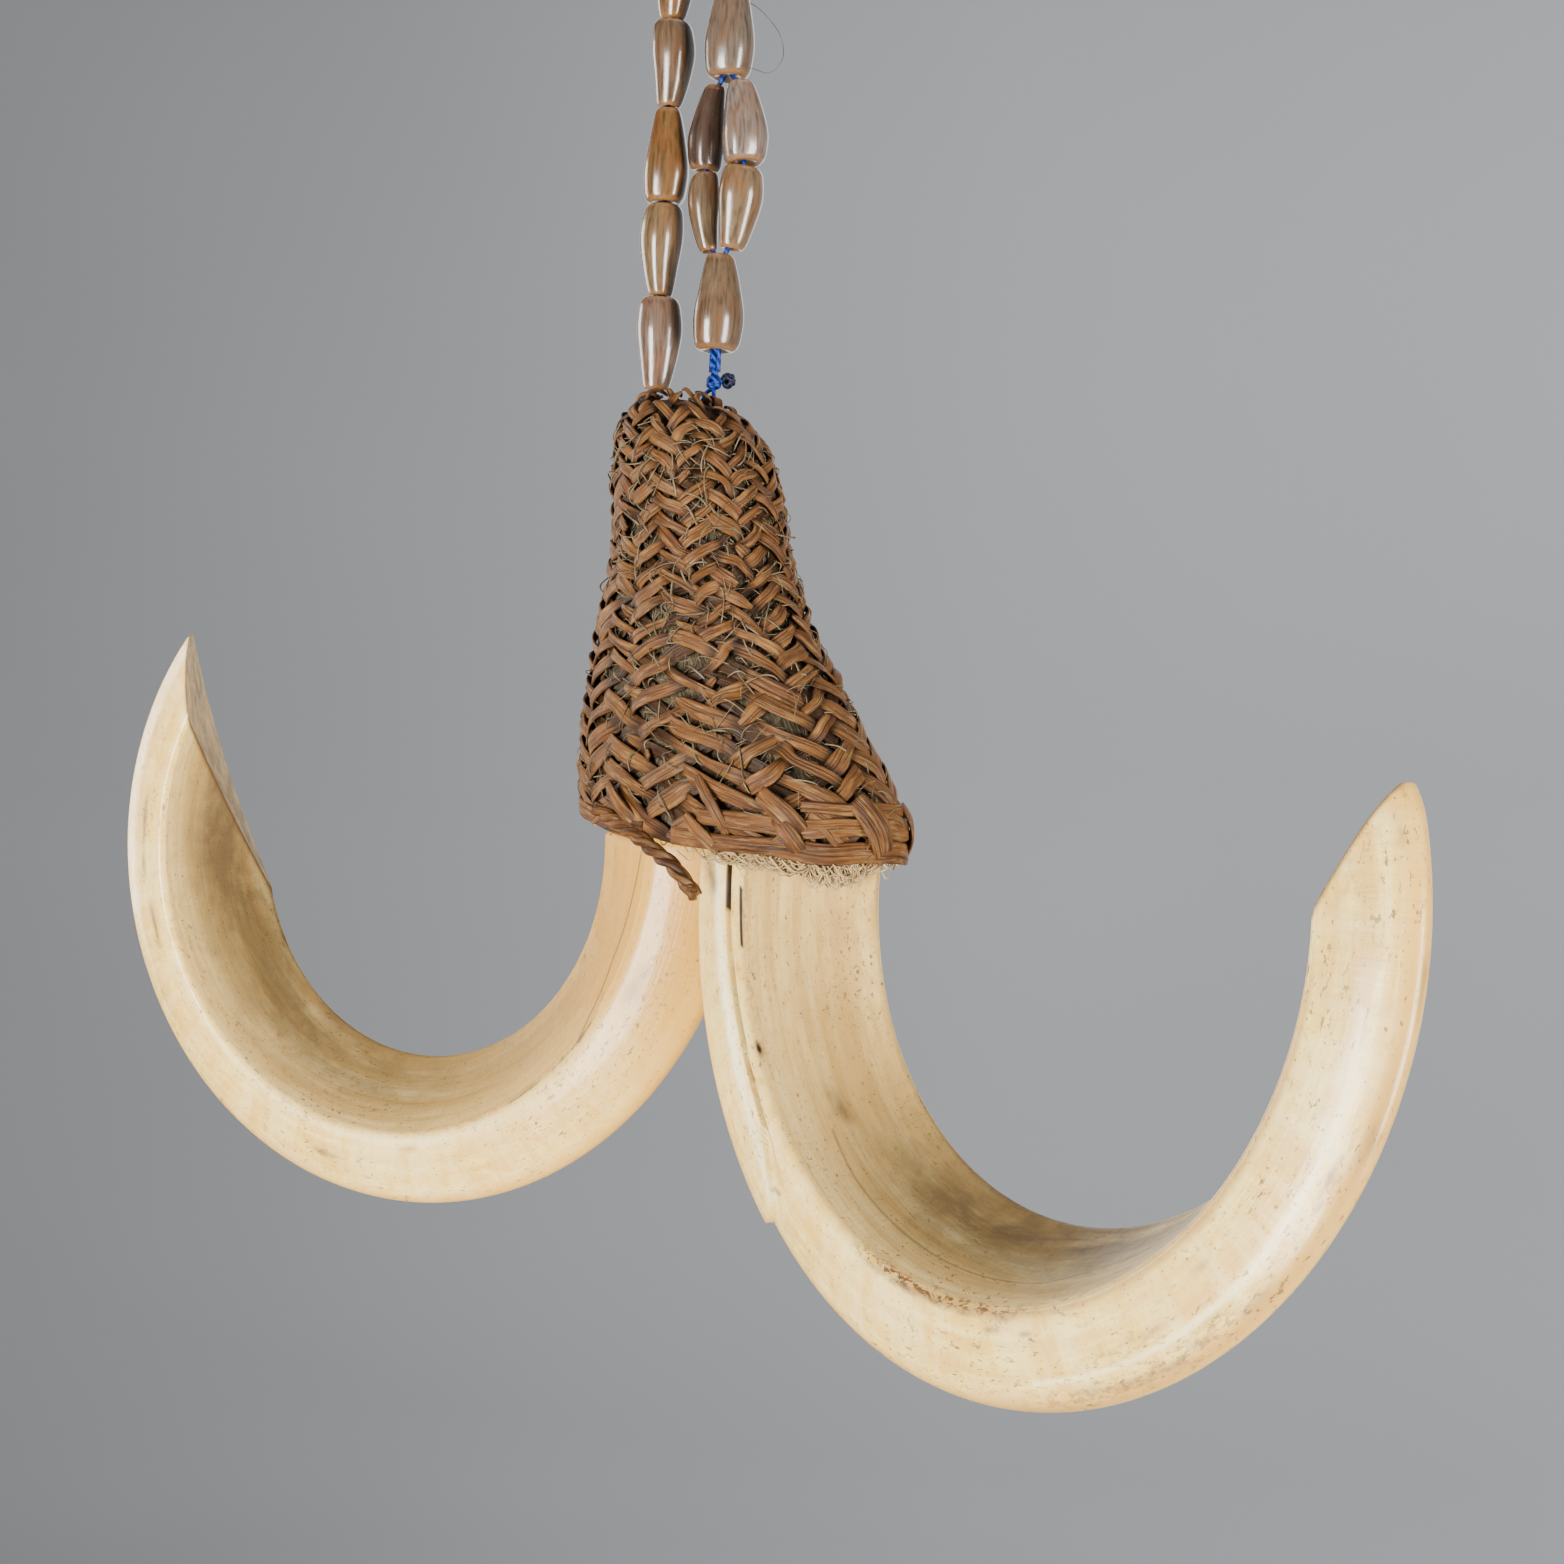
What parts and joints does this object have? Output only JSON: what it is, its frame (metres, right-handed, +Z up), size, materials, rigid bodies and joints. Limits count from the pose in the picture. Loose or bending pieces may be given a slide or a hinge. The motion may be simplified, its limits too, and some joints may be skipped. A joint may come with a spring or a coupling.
{
  "type": "boar tusk ornament",
  "caption": "Hanging ornament of paired boar tusks that curl apart, bound at their roots in a herringbone-plaited vine cap and hung from strands of seed beads.",
  "frame": {"origin": "inside the top of the hanging loop, where a hook or peg would carry it", "axes": "+Z up, +X from the left tusk to the right tusk, -Y the front, where the bright outer sides of the tusks show"},
  "size_m": [0.2286, 0.0488, 0.2188],
  "materials": {
    "ivory": "polished tooth, cream and tan, streaked",
    "vine": "split vine, satin",
    "fibre": "twined plant fibre, rough",
    "seed_bead": "glossy hard seed",
    "blue_thread": "twisted thread",
    "navy_thread": "twisted thread"
  },
  "bodies": {
    "root": {"bead_left_1": "seed_bead", "bead_left_2": "seed_bead", "bead_left_3": "seed_bead", "bead_left_4": "seed_bead", "bead_left_5": "seed_bead", "bead_right_1": "seed_bead", "bead_right_2": "seed_bead", "bead_right_3": "seed_bead", "bead_right_4": "seed_bead", "bead_side_1": "seed_bead", "bead_side_2": "seed_bead", "fibre_lining": "fibre", "hanging_loop": "navy_thread", "knot_left": "navy_thread", "knot_right": "blue_thread", "knot_top": "navy_thread", "thread_left": "navy_thread", "thread_right": "blue_thread", "thread_side": "blue_thread", "tusk_left": "ivory", "tusk_right": "ivory", "woven_cap": "vine"}
  },
  "joints": []
}
